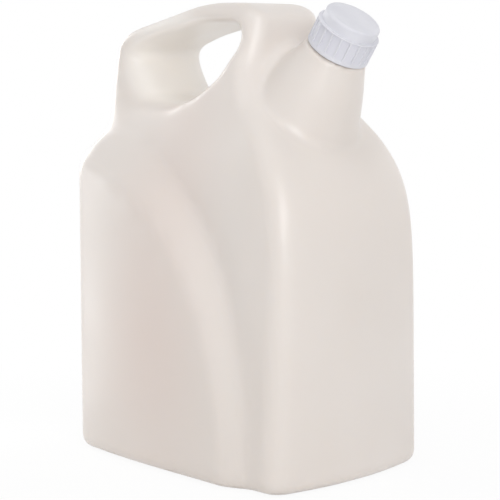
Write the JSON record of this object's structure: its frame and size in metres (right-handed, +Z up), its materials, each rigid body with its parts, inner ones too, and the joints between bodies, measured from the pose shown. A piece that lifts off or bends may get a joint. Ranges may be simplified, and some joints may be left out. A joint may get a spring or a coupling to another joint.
{
  "type": "plastic jerrycan",
  "caption": "Natural white plastic jerrycan with moulded-in carrying handle, raised hip on the sides and a ribbed white screw cap on a neck tilted to the front.",
  "frame": {"origin": "On the standing plane, under the middle of the bounding box of the closed can.", "axes": "+X points to the front, where the neck tilts, +Y to the can's left side and +Z up."},
  "size_m": [0.2024, 0.1474, 0.2862],
  "materials": {
    "natural_plastic": "satin, slightly see-through natural polyethylene",
    "cap_plastic": "satin white",
    "liner_foam": "matt foamed sheet"
  },
  "bodies": {
    "can": {"bottle": "natural_plastic"},
    "seal": {"cap_liner": "liner_foam"},
    "cap": {"screw_cap": "cap_plastic"}
  },
  "joints": [
    {"name": "cap_rise", "type": "slide", "parent": "can", "child": "seal", "axis": [0.5707, 0, 0.8211], "range_m": [0, 0.0091]},
    {"name": "cap_turn", "type": "hinge", "parent": "seal", "child": "cap", "pos_m": [0.07626, 0, 0.2595], "axis": [0.5707, 0, 0.8211], "range_deg": [0, 720]}
  ],
  "couplings": [
    {"joint": "cap_rise", "follows": "cap_turn", "m_per_rad": 0.0007162}
  ]
}
